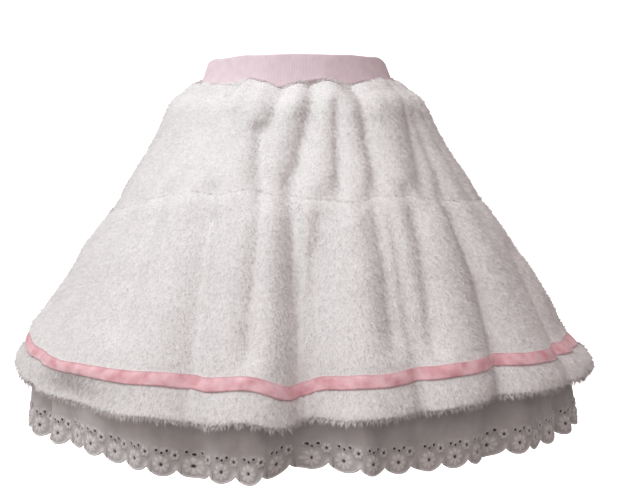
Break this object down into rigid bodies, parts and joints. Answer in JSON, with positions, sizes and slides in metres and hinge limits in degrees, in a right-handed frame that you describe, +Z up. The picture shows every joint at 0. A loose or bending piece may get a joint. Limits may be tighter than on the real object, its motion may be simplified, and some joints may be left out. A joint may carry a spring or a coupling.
{
  "type": "lolita skirt",
  "caption": "Gathered two-tier plush skirt with an elastic waistband, a satin ribbon above the hem and a scalloped eyelet lace trim under it, in its worn hollow form.",
  "frame": {"origin": "middle of the hollow of the waistband, where the waist holds the skirt", "axes": "+Z up, the front faces -Y, +X to the right of someone who looks at the front"},
  "size_m": [0.7303, 0.6528, 0.4707],
  "materials": {
    "plush": "white long-pile plush, polyester pile on a knitted back",
    "rib_knit": "pale pink elastic rib knit, matt",
    "satin": "pink polyester satin ribbon, soft gloss",
    "eyelet_cotton": "off-white cotton eyelet embroidery with satin-stitched edges, matt"
  },
  "bodies": {
    "root": {"waistband": "rib_knit", "yoke_front": "plush", "yoke_back": "plush", "flounce_front": "plush", "flounce_back": "plush", "ribbon": "satin", "lace_trim": "eyelet_cotton"}
  },
  "joints": []
}
